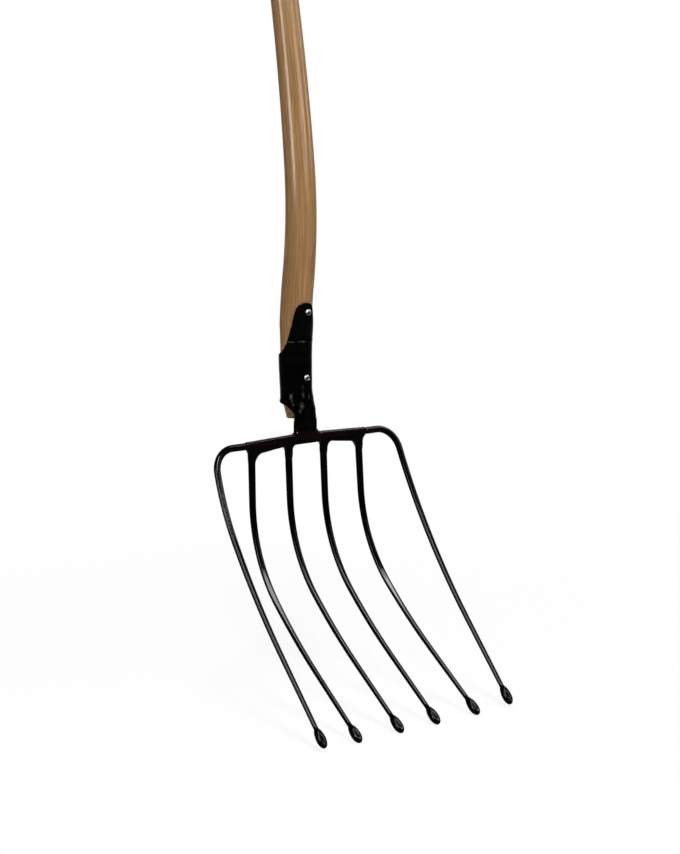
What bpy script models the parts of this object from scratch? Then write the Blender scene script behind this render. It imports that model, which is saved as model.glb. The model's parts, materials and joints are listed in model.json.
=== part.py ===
"""Beet fork: a bent ash shaft screwed into an open forged socket, which is welded to a
crossbar that carries six round tines with forged olive points.

Metres, +Z up along the shaft's foot, -Y on the hollow side of the fork, X across it. The origin
is the middle of the crossbar's underside, between the two middle tines.
"""

import math

import bmesh
import bpy
import numpy
from mathutils import Matrix, Vector

for leftover in list(bpy.data.objects):
    bpy.data.objects.remove(leftover, do_unlink=True)


# Gaps between neighbours
FIT_GAP = 0.0003
WELD_GAP = 0.0003

# Tines across the fork
MIDDLE_SPACING = 0.0492
SIDE_SPACING = 0.0513
MIDDLE_SPLAY = math.radians(0.2)
SIDE_SPLAY = math.radians(1.3)

# Tine rods, from the weld to the end of the olive point
TINE_ROOT_DIAMETER = 0.0080
TINE_NECK_DIAMETER = 0.0048
OLIVE_DIAMETER = 0.0108
OLIVE_TAIL = 0.0142
OLIVE_NOSE = 0.0100
OLIVE_NOSE_END = math.radians(165)

# Side shape of the four inner tines
INNER_LENGTH = 0.344
INNER_RAKE = math.radians(3)
INNER_SHANK = 0.041
INNER_BEND_RADIUS = 0.161
INNER_BEND_RAKE = math.radians(43.5)
INNER_SWEEP_RADIUS = 0.632
INNER_POINT_RAKE = math.radians(52)

# Side shape of the two outer tines and their shoulders
OUTER_LENGTH = 0.3755
OUTER_ARM = 0.0157
SHOULDER_RADIUS = 0.0266
SHOULDER_DROP = math.radians(85.7)
OUTER_RAKE = math.radians(20.3)
OUTER_BEND_RADIUS = 0.414
OUTER_BEND_RAKE = math.radians(31)
OUTER_SWEEP_RADIUS = 0.804
OUTER_POINT_RAKE = math.radians(40.6)

# Crossbar, with its stubs and its seat for the neck
BAR_DEPTH = 0.0120
BAR_END_DEPTH = 0.0100
BAR_THICKNESS = 0.0090
BAR_ROUND = 0.0030
BAY_DROP = 0.0040
STUB_LENGTH = 0.0160
END_STUB_REACH = 0.0104
END_STUB_HEIGHT = 0.0053
MIDDLE_FILLET = 0.0050
BAY_INNER_FILLET = 0.0070
BAY_OUTER_FILLET = 0.0090
END_FILLET = 0.0064
SEAT_HEIGHT = 0.0080
SEAT_FILLET = 0.0050

# Neck and socket
NECK_WIDTH = 0.0260
NECK_THICKNESS = 0.0075
NECK_FRONT = 0.0030
NECK_TOP = 0.0250
CURL_TOP = 0.0480
BLEND_FOOT = 0.0430
BLEND_TOP = 0.0600
SOCKET_WALL = 0.0020
WING_FOOT = 0.0450
WING_TOP = 0.0980
WING_WRAP = math.radians(155)
WING_CORNER = 0.0050
WING_SLOPE = 0.0110
FLARE_RISE = 0.0144
TONGUE_TOP = 0.1555
TONGUE_WIDTH = 0.0280
TONGUE_CORNER = 0.0085
TONGUE_FLARE = math.radians(70)

# Ash handle, along its centre-line from its foot
HANDLE_LENGTH = 1.350
HANDLE_BACK = 0.0160
HANDLE_FOOT = 0.0270
HANDLE_END_DIAMETER = 0.0230
HANDLE_TOE_DIAMETER = 0.0310
HANDLE_TOE = 0.0210
HANDLE_MOUTH_DIAMETER = 0.0332
HANDLE_MOUTH = 0.0830
HANDLE_SHOULDER_DIAMETER = 0.0354
HANDLE_SHOULDER = 0.1030
HANDLE_TAPER_START = 0.1520
HANDLE_TAPER_END = 0.5280
HANDLE_GRIP_DIAMETER = 0.0290
HANDLE_CAP_ROUND = 0.0080
HANDLE_STRAIGHT = 0.0500
HANDLE_SEAT_LEAN = math.radians(2.4)
HANDLE_KICK_RADIUS = 0.566
HANDLE_KICK_LEAN = math.radians(-8)
HANDLE_BOW_RADIUS = 0.532
HANDLE_BOW_LEAN = math.radians(5.5)
HANDLE_EASE_RADIUS = 2.135
HANDLE_LEAN = math.radians(10.5)

# Wood screws
SCREW_HEAD_DIAMETER = 0.0084
SCREW_HEAD_HEIGHT = 0.0028
SCREW_DIAMETER = 0.0042
SCREW_LENGTH = 0.0240
SCREW_POINT = 0.0050
UPPER_SCREW_DROP = 0.0106
LOWER_SCREW_RISE = 0.0275
RECESS_WIDTH = 0.0010
RECESS_SPAN = 0.0046
RECESS_DEPTH = 0.0014

# Fineness of the faceted solids
ROD_TURN = math.radians(4)
HANDLE_TURN = math.radians(2)
SHEET_COLUMNS = 20
SHEET_ROW = 0.011
SHEET_ROW_TURN = math.radians(11)
ROD_SIDE_STEPS = 4
HANDLE_SIDE_STEPS = 10
SCREW_SIDES = 20
ARC_STEPS = 5
LEAN_STEP = 0.004

# Heights and places that follow from the sizes above
INNER_X = MIDDLE_SPACING / 2
SIDE_X = INNER_X + SIDE_SPACING
BAR_END_X = SIDE_X + END_STUB_REACH
NECK_FOOT = BAR_DEPTH + SEAT_HEIGHT
UPPER_SCREW_HEIGHT = TONGUE_TOP - UPPER_SCREW_DROP
LOWER_SCREW_HEIGHT = WING_FOOT + LOWER_SCREW_RISE

parts = bpy.data.collections.new("beet_fork")
cutters = bpy.data.collections.new("cutters")
bpy.context.scene.collection.children.link(parts)
bpy.context.scene.collection.children.link(cutters)


def finish(name, colour, roughness, metallic):
    """A plain material in the colour of the real surface."""
    material = bpy.data.materials.new(name)
    material.use_nodes = True
    shader = material.node_tree.nodes["Principled BSDF"]
    shader.inputs["Base Color"].default_value = (*colour, 1)
    shader.inputs["Roughness"].default_value = roughness
    shader.inputs["Metallic"].default_value = metallic
    return material


black_lacquer = finish("black_lacquer", (0.012, 0.011, 0.010), 0.30, 0.0)
ash = finish("ash", (0.42, 0.27, 0.15), 0.50, 0.0)
zinc = finish("zinc", (0.62, 0.64, 0.66), 0.30, 1.0)


def place(name, data, material, collection=parts):
    """Adds an object with its material to a collection."""
    piece = bpy.data.objects.new(name, data)
    if material:
        data.materials.clear()
        data.materials.append(material)
    collection.objects.link(piece)
    return piece


def mesh_of(curve_piece):
    """Replaces a curve object with the closed mesh that it draws."""
    bpy.context.view_layer.update()
    evaluated = curve_piece.evaluated_get(bpy.context.evaluated_depsgraph_get())
    mesh = bpy.data.meshes.new_from_object(evaluated)
    shell = bmesh.new()
    shell.from_mesh(mesh)
    bmesh.ops.remove_doubles(shell, verts=shell.verts, dist=0.000005)
    shell.to_mesh(mesh)
    shell.free()
    name = curve_piece.name
    piece = bpy.data.objects.new(name, mesh)
    piece.matrix_world = curve_piece.matrix_world
    curve_piece.users_collection[0].objects.link(piece)
    bpy.data.objects.remove(curve_piece, do_unlink=True)
    piece.name = name
    return piece


def hide_cutter(cutter):
    """Marks an object that only shapes others."""
    cutter.hide_render = True
    cutter.display_type = "WIRE"
    return cutter


def carve(piece, cutter, operation="DIFFERENCE"):
    """Cuts a piece with a cutter, or trims it to the cutter."""
    boolean = piece.modifiers.new(cutter.name, "BOOLEAN")
    boolean.operation = operation
    boolean.object = cutter


def box_cutter(name, size):
    """A box of the given size round its own middle."""
    shell = bmesh.new()
    bmesh.ops.create_cube(shell, size=1, matrix=Matrix.Diagonal((*size, 1)))
    mesh = bpy.data.meshes.new(name)
    shell.to_mesh(mesh)
    shell.free()
    return hide_cutter(place(name, mesh, None, cutters))


def rod_cutter(name, diameter, length):
    """A round cutter along its own Z."""
    shell = bmesh.new()
    bmesh.ops.create_cone(
        shell, cap_ends=True, segments=SCREW_SIDES, radius1=diameter / 2, radius2=diameter / 2, depth=length
    )
    mesh = bpy.data.meshes.new(name)
    shell.to_mesh(mesh)
    shell.free()
    return hide_cutter(place(name, mesh, None, cutters))


def follow(start, stretches, heading, turn_step):
    """Walks a centre-line through stretches of (length, first angles, last angles).

    Gives (distance, point) pairs; heading turns the angles into a direction."""
    point = Vector(start)
    distance = 0.0
    run = [(distance, point)]
    for length, first, last in stretches:
        turn = max(abs(end - begin) for begin, end in zip(first, last))
        steps = max(1, math.ceil(turn / turn_step))
        for step in range(steps):
            share = (step + 0.5) / steps
            angles = [begin + (end - begin) * share for begin, end in zip(first, last)]
            point = point + heading(*angles) * (length / steps)
            distance += length / steps
            run.append((distance, point))
    return run


def tube(name, stations, side_steps, material):
    """A round bar through (point, radius) stations, closed at both ends."""
    curve = bpy.data.curves.new(name, "CURVE")
    curve.dimensions = "3D"
    curve.bevel_depth = 1.0
    curve.bevel_resolution = side_steps
    curve.use_fill_caps = True
    spline = curve.splines.new("POLY")
    spline.points.add(len(stations) - 1)
    for knot, (point, radius) in zip(spline.points, stations):
        knot.co = (*point, 1)
        knot.radius = radius
    spline.use_smooth = True
    return place(name, curve, material)


def olive(start, along):
    """Stations of a forged olive point: a long tail that swells out of the rod and a short nose."""
    full = OLIVE_DIAMETER / 2
    tail_start = math.asin(TINE_NECK_DIAMETER / OLIVE_DIAMETER)
    middle = OLIVE_TAIL * math.cos(tail_start)
    stations = []
    for step in range(1, ARC_STEPS + 1):
        angle = tail_start + (math.pi / 2 - tail_start) * step / ARC_STEPS
        offset = middle - OLIVE_TAIL * math.cos(angle)
        stations.append((start + along * offset, full * math.sin(angle)))
    for step in range(1, ARC_STEPS + 1):
        angle = math.pi / 2 + (OLIVE_NOSE_END - math.pi / 2) * step / ARC_STEPS
        offset = middle - OLIVE_NOSE * math.cos(angle)
        stations.append((start + along * offset, full * math.sin(angle)))
    return stations


OLIVE_LENGTH = (
    OLIVE_TAIL * math.cos(math.asin(TINE_NECK_DIAMETER / OLIVE_DIAMETER))
    - OLIVE_NOSE * math.cos(OLIVE_NOSE_END)
)


def tine(name, side, start, bends, length):
    """A tapered round rod that follows its bends, then runs straight into its olive point.

    Each bend is (length, first (drop, rake), last (drop, rake)). Drop is the angle down from
    sideways, and rake the angle forward from straight down."""

    def heading(drop, rake):
        down = math.sin(drop)
        return Vector((side * math.cos(drop), -down * math.sin(rake), -down * math.cos(rake)))

    last = bends[-1][2]
    bent = sum(bend[0] for bend in bends)
    straight = (length - OLIVE_LENGTH - bent, last, last)
    run = follow(start, [*bends, straight], heading, ROD_TURN)
    whole = run[-1][0]
    root = TINE_ROOT_DIAMETER / 2
    neck = TINE_NECK_DIAMETER / 2
    stations = [(point, root + (neck - root) * distance / whole) for distance, point in run]
    stations += olive(run[-1][1], heading(*last))
    return tube(name, stations, ROD_SIDE_STEPS, black_lacquer)


def inner_tine(name, side, x, splay):
    """One of the four tines under the bar: a straight shank, then a bend that opens out."""
    drop = math.pi / 2 - splay
    bends = [
        (INNER_SHANK, (drop, INNER_RAKE), (drop, INNER_RAKE)),
        (
            INNER_BEND_RADIUS * (INNER_BEND_RAKE - INNER_RAKE),
            (drop, INNER_RAKE),
            (drop, INNER_BEND_RAKE),
        ),
        (
            INNER_SWEEP_RADIUS * (INNER_POINT_RAKE - INNER_BEND_RAKE),
            (drop, INNER_BEND_RAKE),
            (drop, INNER_POINT_RAKE),
        ),
    ]
    start = (side * x, 0, -STUB_LENGTH - WELD_GAP)
    return tine(name, side, start, bends, INNER_LENGTH)


def outer_tine(name, side):
    """An outer tine: out of the bar's end, round a shoulder and down beside the others."""
    upright = math.pi / 2
    bends = [
        (OUTER_ARM, (0, OUTER_RAKE), (0, OUTER_RAKE)),
        (SHOULDER_RADIUS * SHOULDER_DROP, (0, OUTER_RAKE), (SHOULDER_DROP, OUTER_RAKE)),
        (
            OUTER_BEND_RADIUS * (OUTER_BEND_RAKE - OUTER_RAKE),
            (SHOULDER_DROP, OUTER_RAKE),
            (upright, OUTER_BEND_RAKE),
        ),
        (
            OUTER_SWEEP_RADIUS * (OUTER_POINT_RAKE - OUTER_BEND_RAKE),
            (upright, OUTER_BEND_RAKE),
            (upright, OUTER_POINT_RAKE),
        ),
    ]
    start = (side * (BAR_END_X + WELD_GAP), 0, END_STUB_HEIGHT)
    return tine(name, side, start, bends, OUTER_LENGTH)


outer_tine("tine_1_outer_left", -1)
inner_tine("tine_2_inner", -1, SIDE_X, SIDE_SPLAY)
inner_tine("tine_3_inner", -1, INNER_X, MIDDLE_SPLAY)
inner_tine("tine_4_inner", 1, INNER_X, MIDDLE_SPLAY)
inner_tine("tine_5_inner", 1, SIDE_X, SIDE_SPLAY)
outer_tine("tine_6_outer_right", 1)


def arc(centre, radius, first_degrees, last_degrees):
    """Points of an arc in the bar's front outline."""
    points = []
    for step in range(ARC_STEPS + 1):
        angle = math.radians(first_degrees + (last_degrees - first_degrees) * step / ARC_STEPS)
        points.append((centre[0] + radius * math.cos(angle), centre[1] + radius * math.sin(angle)))
    return points


def bar_half_outline():
    """The right half of the bar's front outline, from the top middle round to the underside.

    The stubs run past their ends here, and are trimmed flat afterwards."""
    stub = TINE_ROOT_DIAMETER / 2
    spare = BAR_ROUND * 2
    stub_end = -STUB_LENGTH - spare
    seat = NECK_WIDTH / 2
    step_x = SIDE_X + stub
    end_top = END_STUB_HEIGHT + stub
    end_under = END_STUB_HEIGHT - stub
    outline = [(seat, NECK_FOOT + spare)]
    outline += arc((seat + SEAT_FILLET, BAR_DEPTH + SEAT_FILLET), SEAT_FILLET, 180, 270)
    outline += [(step_x, BAR_END_DEPTH), (step_x, end_top), (BAR_END_X + spare, end_top)]
    outline += [(BAR_END_X + spare, end_under)]
    outline += arc((step_x + END_FILLET, end_under - END_FILLET), END_FILLET, 90, 180)
    outline += [(SIDE_X + stub, stub_end), (SIDE_X - stub, stub_end)]
    bay_end = (SIDE_X - stub - BAY_OUTER_FILLET, -BAY_DROP - BAY_OUTER_FILLET)
    outline += arc(bay_end, BAY_OUTER_FILLET, 0, 90)
    bay_start = (INNER_X + stub + BAY_INNER_FILLET, -BAY_DROP / 4 - BAY_INNER_FILLET)
    outline += arc(bay_start, BAY_INNER_FILLET, 90, 180)
    outline += [(INNER_X + stub, stub_end), (INNER_X - stub, stub_end)]
    outline += arc((INNER_X - stub - MIDDLE_FILLET, -MIDDLE_FILLET), MIDDLE_FILLET, 0, 90)
    return outline


def make_crossbar():
    """The forged bar: a flat outline with rounded edges, its stubs trimmed square for welding."""
    right = bar_half_outline()
    left = [(-x, z) for x, z in reversed(right)]
    outline = right + left
    curve = bpy.data.curves.new("crossbar", "CURVE")
    curve.dimensions = "2D"
    curve.fill_mode = "BOTH"
    curve.extrude = BAR_THICKNESS / 2 - BAR_ROUND
    curve.bevel_depth = BAR_ROUND
    curve.bevel_resolution = 1
    curve.offset = -BAR_ROUND
    spline = curve.splines.new("POLY")
    spline.points.add(len(outline) - 1)
    for knot, (x, z) in zip(spline.points, outline):
        knot.co = (x, z, 0, 1)
    spline.use_cyclic_u = True
    bar = place("crossbar", curve, black_lacquer)
    bar.rotation_euler = (math.pi / 2, 0, 0)
    bar = mesh_of(bar)
    planes = box_cutter("weld_planes", (BAR_END_X * 2, BAR_THICKNESS * 2, NECK_FOOT + STUB_LENGTH))
    planes.location = (0, 0, (NECK_FOOT - STUB_LENGTH) / 2)
    carve(bar, planes, "INTERSECT")
    return bar


make_crossbar()


def handle_run():
    """The handle's centre-line: straight in the socket, kicked forward, then bowed back."""

    def heading(lean):
        return Vector((0, math.sin(lean), math.cos(lean)))

    seat, kick, bow, grip = HANDLE_SEAT_LEAN, HANDLE_KICK_LEAN, HANDLE_BOW_LEAN, HANDLE_LEAN
    bends = [
        (HANDLE_STRAIGHT, (seat,), (seat,)),
        (HANDLE_KICK_RADIUS * (seat - kick), (seat,), (kick,)),
        (HANDLE_BOW_RADIUS * (bow - kick), (kick,), (bow,)),
        (HANDLE_EASE_RADIUS * (grip - bow), (bow,), (grip,)),
    ]
    straight = (HANDLE_LENGTH - sum(bend[0] for bend in bends), (grip,), (grip,))
    return follow((0, HANDLE_BACK, HANDLE_FOOT), [*bends, straight], heading, HANDLE_TURN)


HANDLE_RUN = handle_run()
HANDLE_SIZES = [
    (0.0, HANDLE_END_DIAMETER / 2),
    (HANDLE_TOE, HANDLE_TOE_DIAMETER / 2),
    (HANDLE_MOUTH, HANDLE_MOUTH_DIAMETER / 2),
    (HANDLE_SHOULDER, HANDLE_SHOULDER_DIAMETER / 2),
    (HANDLE_TAPER_START, HANDLE_SHOULDER_DIAMETER / 2),
    (HANDLE_TAPER_END, HANDLE_GRIP_DIAMETER / 2),
    (HANDLE_LENGTH - HANDLE_CAP_ROUND, HANDLE_GRIP_DIAMETER / 2),
]


def handle_point(distance):
    """The centre-line's point at a distance from the foot."""
    distances = [step for step, _ in HANDLE_RUN]
    points = [point for _, point in HANDLE_RUN]
    return Vector([numpy.interp(distance, distances, [point[axis] for point in points]) for axis in range(3)])


def handle_radius(distance):
    """The wood's radius at a distance from the foot, without its rounded top."""
    return float(numpy.interp(distance, *zip(*HANDLE_SIZES)))


def handle_axis_y(height):
    """How far back the handle's centre-line lies at a height."""
    heights = [point.z for _, point in HANDLE_RUN]
    return float(numpy.interp(height, heights, [point.y for _, point in HANDLE_RUN]))


def make_handle():
    """The turned ash shaft: a coned foot, a slow taper and a rounded top."""
    distances = {distance for distance, _ in [*HANDLE_RUN[:-1], *HANDLE_SIZES]}
    stations = [(handle_point(distance), handle_radius(distance)) for distance in sorted(distances)]
    grip = HANDLE_GRIP_DIAMETER / 2
    for step in range(1, ARC_STEPS + 1):
        angle = math.pi / 2 * step / ARC_STEPS
        distance = HANDLE_LENGTH - HANDLE_CAP_ROUND * (1 - math.sin(angle))
        stations.append((handle_point(distance), grip - HANDLE_CAP_ROUND * (1 - math.cos(angle))))
    return mesh_of(tube("handle", stations, HANDLE_SIDE_STEPS, ash))


handle = make_handle()


def socket_radius(height):
    """The outside radius of the socket round the wood, at a level cut through both."""
    slope = (handle_axis_y(height + LEAN_STEP) - handle_axis_y(height - LEAN_STEP)) / (2 * LEAN_STEP)
    wood = handle_radius(max(height - HANDLE_FOOT, HANDLE_TOE))
    return (wood + FIT_GAP + SOCKET_WALL) * math.hypot(1, slope)


def wrap_angles():
    """The socket's edge as (height, half angle round the wood), from the neck to the tongue.

    It opens from the neck to the wings' lower corners, closes at their upper corners and then
    narrows in a hollow line up the tongue."""
    neck = NECK_WIDTH / 2 / socket_radius(NECK_TOP)
    shoulder = TONGUE_TOP - TONGUE_CORNER
    tongue = TONGUE_WIDTH / 2 / socket_radius(shoulder)
    flare_top = WING_TOP + FLARE_RISE
    return [
        (NECK_TOP, neck),
        (WING_FOOT - WING_SLOPE, neck * 1.12),
        (WING_FOOT - WING_SLOPE * 0.64, neck * 1.6),
        (WING_FOOT - WING_SLOPE * 0.28, neck * 1.95),
        (WING_FOOT - WING_SLOPE * 0.14, WING_WRAP * 0.67),
        (WING_FOOT, WING_WRAP * 0.9),
        (WING_FOOT + WING_CORNER * 0.4, WING_WRAP),
        (WING_TOP - WING_CORNER, WING_WRAP),
        (WING_TOP - WING_CORNER * 0.4, WING_WRAP * 0.89),
        (WING_TOP, WING_WRAP * 0.76),
        (WING_TOP + FLARE_RISE * 0.22, WING_WRAP * 0.61),
        (WING_TOP + FLARE_RISE * 0.44, WING_WRAP * 0.54),
        (flare_top, TONGUE_FLARE),
        ((flare_top + shoulder) / 2, TONGUE_FLARE * 0.42 + tongue * 0.58),
        (shoulder, tongue),
    ]


def socket_heights():
    """Heights of the socket's cross-sections, close together where its edge turns."""
    heights = {NECK_FOOT + WELD_GAP}
    edge = wrap_angles()
    for (low, narrow), (high, wide) in zip(edge, edge[1:]):
        rows = math.ceil(max((high - low) / SHEET_ROW, abs(wide - narrow) / SHEET_ROW_TURN))
        heights.update(low + (high - low) * row / rows for row in range(rows + 1))
    for step in range(1, ARC_STEPS + 1):
        angle = math.pi / 2 * step / ARC_STEPS
        heights.add(TONGUE_TOP - TONGUE_CORNER * (1 - math.sin(angle)))
    return sorted(heights)


def share_of(height, foot, top):
    """How far a height lies between two others, from 0 to 1."""
    return min(1, max(0, (height - foot) / (top - foot)))


def sheet_section(height):
    """Half width, curvature, front and thickness of the socket's sheet at a height."""
    radius = socket_radius(height)
    axis = handle_axis_y(height)
    curl = 1 - (1 - share_of(height, NECK_TOP, CURL_TOP)) ** 2
    rise = share_of(height, BLEND_FOOT, BLEND_TOP)
    front = -NECK_FRONT + (axis - radius + NECK_FRONT) * rise * rise * (3 - 2 * rise)
    curvature = curl * 2 / (axis + radius - front)
    thickness = NECK_THICKNESS + (SOCKET_WALL - NECK_THICKNESS) * curl
    shoulder = TONGUE_TOP - TONGUE_CORNER
    half = NECK_WIDTH / 2
    if height > shoulder:
        corner = share_of(height, shoulder, TONGUE_TOP)
        half = TONGUE_WIDTH / 2 - TONGUE_CORNER * (1 - math.sqrt(1 - corner * corner))
    elif height > NECK_TOP:
        half = radius * float(numpy.interp(height, *zip(*wrap_angles())))
    return half, curvature, front, thickness


def sheet_ring(height):
    """One closed cross-section: along the front from left to right, and back behind it."""
    half, curvature, front, thickness = sheet_section(height)
    ring = []
    shares = [2 * column / SHEET_COLUMNS - 1 for column in range(SHEET_COLUMNS + 1)]
    for depth, order in ((0.0, shares), (thickness, reversed(shares))):
        for share in order:
            along = share * half
            if curvature * half < 0.01:
                ring.append((along, front + depth, height))
                continue
            angle = along * curvature
            radius = 1 / curvature
            x = (radius - depth) * math.sin(angle)
            y = front + radius - (radius - depth) * math.cos(angle)
            ring.append((x, y, height))
    return ring


def make_socket():
    """The socket forging: flat neck, wings rolled round the wood and a tongue up its front."""
    shell = bmesh.new()
    rings = [[shell.verts.new(point) for point in sheet_ring(height)] for height in socket_heights()]
    count = len(rings[0])
    for lower, upper in zip(rings, rings[1:]):
        for index in range(count):
            following = (index + 1) % count
            shell.faces.new((lower[index], lower[following], upper[following], upper[index]))
    for ring, flip in ((rings[0], True), (rings[-1], False)):
        for column in range(SHEET_COLUMNS):
            corners = (ring[column], ring[column + 1], ring[count - 2 - column], ring[count - 1 - column])
            shell.faces.new(reversed(corners) if flip else corners)
    bmesh.ops.recalc_face_normals(shell, faces=shell.faces)
    mesh = bpy.data.meshes.new("socket")
    shell.to_mesh(mesh)
    shell.free()
    return place("socket", mesh, black_lacquer)


socket = make_socket()


def screw_profile():
    """Half section of a pan-head wood screw, from the head's crown to the point."""
    head = SCREW_HEAD_DIAMETER / 2
    shank = SCREW_DIAMETER / 2
    crown = []
    for step in range(ARC_STEPS + 1):
        angle = math.pi / 2 * step / ARC_STEPS
        crown.append((head * math.sin(angle), SCREW_HEAD_HEIGHT * (0.25 + 0.75 * math.cos(angle))))
    return crown + [(head, 0), (shank, 0), (shank, SCREW_POINT - SCREW_LENGTH), (0, -SCREW_LENGTH)]


def socket_front(height):
    """How far forward the socket's outside lies at a height."""
    return handle_axis_y(height) - socket_radius(height)


def make_screw(name, height):
    """A screw driven back through the socket's front into the wood, in its drilled holes."""
    rise = 2 * LEAN_STEP
    slope = (socket_front(height + LEAN_STEP) - socket_front(height - LEAN_STEP)) / rise
    turned = Matrix.Rotation(math.pi / 2 - math.atan(slope), 4, "X")
    outward = turned.to_3x3() @ Vector((0, 0, 1))
    seat = Vector((0, socket_front(height), height)) + outward * FIT_GAP
    profile = screw_profile()
    mesh = bpy.data.meshes.new(name)
    edges = [(corner, corner + 1) for corner in range(len(profile) - 1)]
    mesh.from_pydata([(x, 0, z) for x, z in profile], edges, [])
    screw = place(name, mesh, zinc)
    screw.matrix_world = Matrix.Translation(seat) @ turned
    turn = screw.modifiers.new("turn", "SCREW")
    turn.steps = SCREW_SIDES
    turn.render_steps = SCREW_SIDES
    turn.use_merge_vertices = True
    turn.merge_threshold = 0.00001
    crown = seat + outward * SCREW_HEAD_HEIGHT
    for number, angle in enumerate((math.pi / 4, -math.pi / 4)):
        slot = box_cutter(f"{name}_recess_{number}", (RECESS_SPAN, RECESS_WIDTH, RECESS_DEPTH * 2))
        slot.matrix_world = Matrix.Translation(crown) @ turned @ Matrix.Rotation(angle, 4, "Z")
        carve(screw, slot)
    depth = SCREW_LENGTH + FIT_GAP
    drill = rod_cutter(f"{name}_hole", SCREW_DIAMETER + 2 * FIT_GAP, depth * 2)
    drill.matrix_world = Matrix.Translation(seat) @ turned
    carve(socket, drill)
    carve(handle, drill)
    return screw


make_screw("screw_upper", UPPER_SCREW_HEIGHT)
make_screw("screw_lower", LOWER_SCREW_HEIGHT)

for piece in parts.objects:
    if piece.type == "MESH":
        piece.data.shade_smooth()
        piece.data.set_sharp_from_angle(angle=math.radians(35))
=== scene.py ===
import bisect
import functools
import json
import math

import bmesh
import bpy
from mathutils import Matrix, Vector, noise

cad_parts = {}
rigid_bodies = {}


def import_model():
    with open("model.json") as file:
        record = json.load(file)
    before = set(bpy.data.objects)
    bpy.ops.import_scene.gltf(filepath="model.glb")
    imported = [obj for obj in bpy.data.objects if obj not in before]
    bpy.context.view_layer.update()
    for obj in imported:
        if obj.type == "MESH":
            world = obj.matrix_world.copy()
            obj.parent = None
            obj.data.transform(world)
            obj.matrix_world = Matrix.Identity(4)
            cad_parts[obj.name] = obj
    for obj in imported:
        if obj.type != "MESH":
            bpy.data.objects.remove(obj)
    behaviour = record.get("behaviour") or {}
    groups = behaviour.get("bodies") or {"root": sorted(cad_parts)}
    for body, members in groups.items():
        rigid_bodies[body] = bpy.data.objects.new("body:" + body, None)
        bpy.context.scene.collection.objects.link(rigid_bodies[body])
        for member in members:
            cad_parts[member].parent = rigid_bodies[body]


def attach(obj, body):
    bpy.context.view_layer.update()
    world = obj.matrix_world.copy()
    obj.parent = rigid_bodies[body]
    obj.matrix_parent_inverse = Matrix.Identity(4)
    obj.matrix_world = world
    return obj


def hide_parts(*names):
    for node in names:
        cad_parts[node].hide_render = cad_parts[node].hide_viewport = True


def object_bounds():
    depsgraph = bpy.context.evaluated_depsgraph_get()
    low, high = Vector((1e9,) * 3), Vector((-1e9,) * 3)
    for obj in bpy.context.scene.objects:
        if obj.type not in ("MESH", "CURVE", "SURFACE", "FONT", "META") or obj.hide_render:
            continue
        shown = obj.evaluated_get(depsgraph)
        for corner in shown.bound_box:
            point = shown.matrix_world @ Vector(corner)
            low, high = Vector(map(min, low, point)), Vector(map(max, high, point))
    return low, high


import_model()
cad_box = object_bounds()


# Ash handle
# A steam-bent ash shaft, turned with a coned foot, a slight swelling above the socket and a slow
# taper to the grip, then sanded and varnished. It is turned straight and bent afterwards, so its
# grain follows its bends.

HANDLE_LENGTH = 1.3499
HANDLE_FOOT = Vector((0, 0.0160, 0.0270))
HANDLE_DIAMETERS = (
    (0.0, 0.0216),
    (0.0007, 0.0230),
    (0.0190, 0.0305),
    (0.0230, 0.0311),
    (0.0830, 0.0332),
    (0.0930, 0.0341),
    (0.1030, 0.0354),
    (0.1520, 0.0354),
    (0.5280, 0.0290),
    (1.3420, 0.0289),
)
HANDLE_CAP_ROUND, CAP_STEPS = 0.0080, 12
HANDLE_SIDES = 72
SEAT_LEAN, KICK_LEAN, BOW_LEAN, GRIP_LEAN = (math.radians(angle) for angle in (2.4, -8, 5.5, 10.5))
SEAT_STRAIGHT, KICK_RADIUS, BOW_RADIUS, EASE_RADIUS = 0.0500, 0.566, 0.532, 2.135


def only(*pieces):
    """Selects these objects and no others; the last one is active."""
    bpy.ops.object.select_all(action="DESELECT")
    for piece in pieces:
        piece.select_set(True)
    bpy.context.view_layer.objects.active = pieces[-1]


def leave():
    """Back to object mode."""
    bpy.ops.object.mode_set(mode="OBJECT")


def new_mesh(operator, **settings):
    """The object that an operator adds, with its place and size applied."""
    bpy.ops.object.select_all(action="DESELECT")
    operator(**settings)
    bpy.ops.object.transform_apply(location=True, rotation=True, scale=True)
    return bpy.context.object


def face_outward(piece):
    """Turns all the faces of a piece outward."""
    only(piece)
    bpy.ops.object.mode_set(mode="EDIT")
    bpy.ops.mesh.select_all(action="SELECT")
    bpy.ops.mesh.normals_make_consistent(inside=False)
    leave()


def share_of(place, foot, top):
    """How far a place lies between two others, from 0 to 1."""
    return min(1, max(0, (place - foot) / (top - foot)))


def ease(share):
    """A share with a soft start and end."""
    return share * share * (3 - 2 * share)


def interpolate(place, knots):
    """The value at a place on a line of (place, value) knots."""
    places = [knot[0] for knot in knots]
    index = min(max(bisect.bisect(places, place), 1), len(knots) - 1)
    (low, first), (high, last) = knots[index - 1], knots[index]
    return first + (last - first) * share_of(place, low, high)


def straight_bar(name, stations, sides):
    """A round bar along +Z through (height, radius) stations, drawn out by extruding its end."""
    height, radius = stations[0]
    add_circle = bpy.ops.mesh.primitive_circle_add
    bar = new_mesh(add_circle, vertices=sides, radius=radius, fill_type="NGON", location=(0, 0, height))
    bar.name = name
    bpy.ops.object.mode_set(mode="EDIT")
    bpy.ops.mesh.select_all(action="SELECT")
    for step, size in stations[1:]:
        bpy.ops.mesh.extrude_region_move(TRANSFORM_OT_translate={"value": (0, 0, step - height)})
        bpy.ops.transform.resize(value=(size / radius, size / radius, 1), center_override=(0, 0, 0))
        height, radius = step, size
    leave()
    face_outward(bar)
    return bar


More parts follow.
